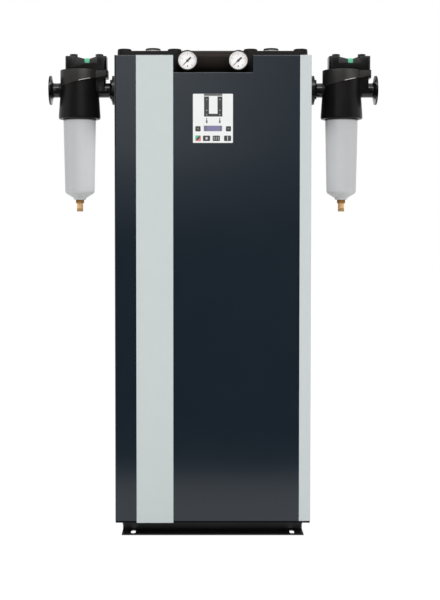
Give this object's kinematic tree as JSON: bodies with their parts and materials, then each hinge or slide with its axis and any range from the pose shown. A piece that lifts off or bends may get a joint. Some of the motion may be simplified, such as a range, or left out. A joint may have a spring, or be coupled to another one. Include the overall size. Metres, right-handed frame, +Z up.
{
  "type": "desiccant air dryer",
  "caption": "Floor-standing twin-tower desiccant compressed-air dryer with a folded sheet cabinet, pressure gauges in a top notch, a keypad panel and a flanged filter on each side.",
  "frame": {"origin": "on the floor, under the middle of the cabinet", "axes": "+Z up, front faces -Y, inlet flange at +X, outlet flange at -X"},
  "size_m": [0.865, 0.2808, 1.268],
  "materials": {
    "black_paint": "semi-gloss black powder coat",
    "zinc": "bright zinc plate",
    "black_anodised": "black anodised, fine-milled",
    "column_aluminium": "natural extruded",
    "desiccant": "bead bed",
    "stainless": "bright",
    "seal_rubber": "matt",
    "black_steel": "black oxide",
    "black_plastic": "fine texture",
    "shuttle_plastic": "natural acetal",
    "brass": "turned",
    "silencer_bronze": "sintered",
    "cover_paint": "satin anthracite powder coat",
    "silver_foil": "satin silver",
    "keypad_film": "fine-textured film",
    "display": "glossy window",
    "board_green": "solder resist",
    "gauge_black": "black enamel",
    "dial_white": "matt white",
    "pointer_black": "matt black",
    "lens": "clear",
    "filter_black": "satin black",
    "bowl_grey": "satin light grey",
    "flag_green": "bright green",
    "element_felt": "felt"
  },
  "bodies": {
    "dryer": {"front_foot": "black_paint", "rear_foot": "black_paint", "foot_bolts": "zinc", "bottom_manifold": "black_anodised", "left_tower": "column_aluminium", "right_tower": "column_aluminium", "left_bed": "desiccant", "right_bed": "desiccant", "bed_screens": "stainless", "bed_springs": "zinc", "tower_seals": "seal_rubber", "left_cap": "black_anodised", "right_cap": "black_anodised", "tower_bolts": "black_steel", "plug_collars": "zinc", "plug_caps": "black_plastic", "top_manifold": "black_anodised", "inlet_riser": "stainless", "inlet_port": "black_anodised", "outlet_port": "black_anodised", "valve_bodies": "brass", "valve_coils": "black_plastic", "silencers": "silencer_bronze", "front_cover": "cover_paint", "rear_cover": "cover_paint", "accent_stripe": "silver_foil", "edge_stripe": "silver_foil", "cover_screws": "black_steel", "keypad_panel": "keypad_film", "display_window": "display", "controller_box": "black_plastic", "circuit_board": "board_green", "left_gauge_case": "gauge_black", "left_gauge_dial": "dial_white", "left_gauge_lens": "lens", "right_gauge_case": "gauge_black", "right_gauge_dial": "dial_white", "right_gauge_lens": "lens", "prefilter_head": "filter_black", "prefilter_bowl": "bowl_grey", "prefilter_indicator": "filter_black", "prefilter_element": "element_felt", "prefilter_drain": "brass", "afterfilter_head": "filter_black", "afterfilter_bowl": "bowl_grey", "afterfilter_indicator": "filter_black", "afterfilter_element": "element_felt", "afterfilter_drain": "brass", "filter_seals": "seal_rubber", "filter_screws": "black_steel"},
    "left_needle": {"left_gauge_pointer": "pointer_black"},
    "right_needle": {"right_gauge_pointer": "pointer_black"},
    "prefilter_flag": {"prefilter_flag": "flag_green"},
    "afterfilter_flag": {"afterfilter_flag": "flag_green"},
    "prefilter_drain_knob": {"prefilter_drain_knob": "brass"},
    "afterfilter_drain_knob": {"afterfilter_drain_knob": "brass"},
    "outlet_shuttle": {"outlet_shuttle": "shuttle_plastic"},
    "inlet_shuttle": {"inlet_shuttle": "shuttle_plastic"},
    "left_plunger": {"left_plunger": "stainless"},
    "right_plunger": {"right_plunger": "stainless"}
  },
  "joints": [
    {"name": "left_gauge_pointer_turn", "type": "hinge", "parent": "dryer", "child": "left_needle", "pos_m": [-0.0645, -0.12, 1.2136], "axis": [0, 1, 0], "range_deg": [0, 270], "stiffness_Nm_per_rad": 0.0005},
    {"name": "right_gauge_pointer_turn", "type": "hinge", "parent": "dryer", "child": "right_needle", "pos_m": [0.0645, -0.12, 1.2136], "axis": [0, 1, 0], "range_deg": [0, 270], "stiffness_Nm_per_rad": 0.0005},
    {"name": "prefilter_flag_lift", "type": "slide", "parent": "dryer", "child": "prefilter_flag", "axis": [0, 0, 1], "range_m": [0, 0.005], "stiffness_N_per_m": 40},
    {"name": "afterfilter_flag_lift", "type": "slide", "parent": "dryer", "child": "afterfilter_flag", "axis": [0, 0, 1], "range_m": [0, 0.005], "stiffness_N_per_m": 40},
    {"name": "prefilter_drain_turn", "type": "hinge", "parent": "dryer", "child": "prefilter_drain_knob", "pos_m": [0.343, 0, 0.84], "axis": [0, 0, 1], "range_deg": [0, 360]},
    {"name": "afterfilter_drain_turn", "type": "hinge", "parent": "dryer", "child": "afterfilter_drain_knob", "pos_m": [-0.3515, 0, 0.84], "axis": [0, 0, 1], "range_deg": [0, 360]},
    {"name": "outlet_shuttle_slide", "type": "slide", "parent": "dryer", "child": "outlet_shuttle", "axis": [1, 0, 0], "range_m": [-0.0076, 0.0076]},
    {"name": "inlet_shuttle_slide", "type": "slide", "parent": "dryer", "child": "inlet_shuttle", "axis": [1, 0, 0], "range_m": [-0.0076, 0.0076]},
    {"name": "left_plunger_lift", "type": "slide", "parent": "dryer", "child": "left_plunger", "axis": [0, 0, 1], "range_m": [0, 0.004], "stiffness_N_per_m": 200},
    {"name": "right_plunger_lift", "type": "slide", "parent": "dryer", "child": "right_plunger", "axis": [0, 0, 1], "range_m": [0, 0.004], "stiffness_N_per_m": 200}
  ]
}
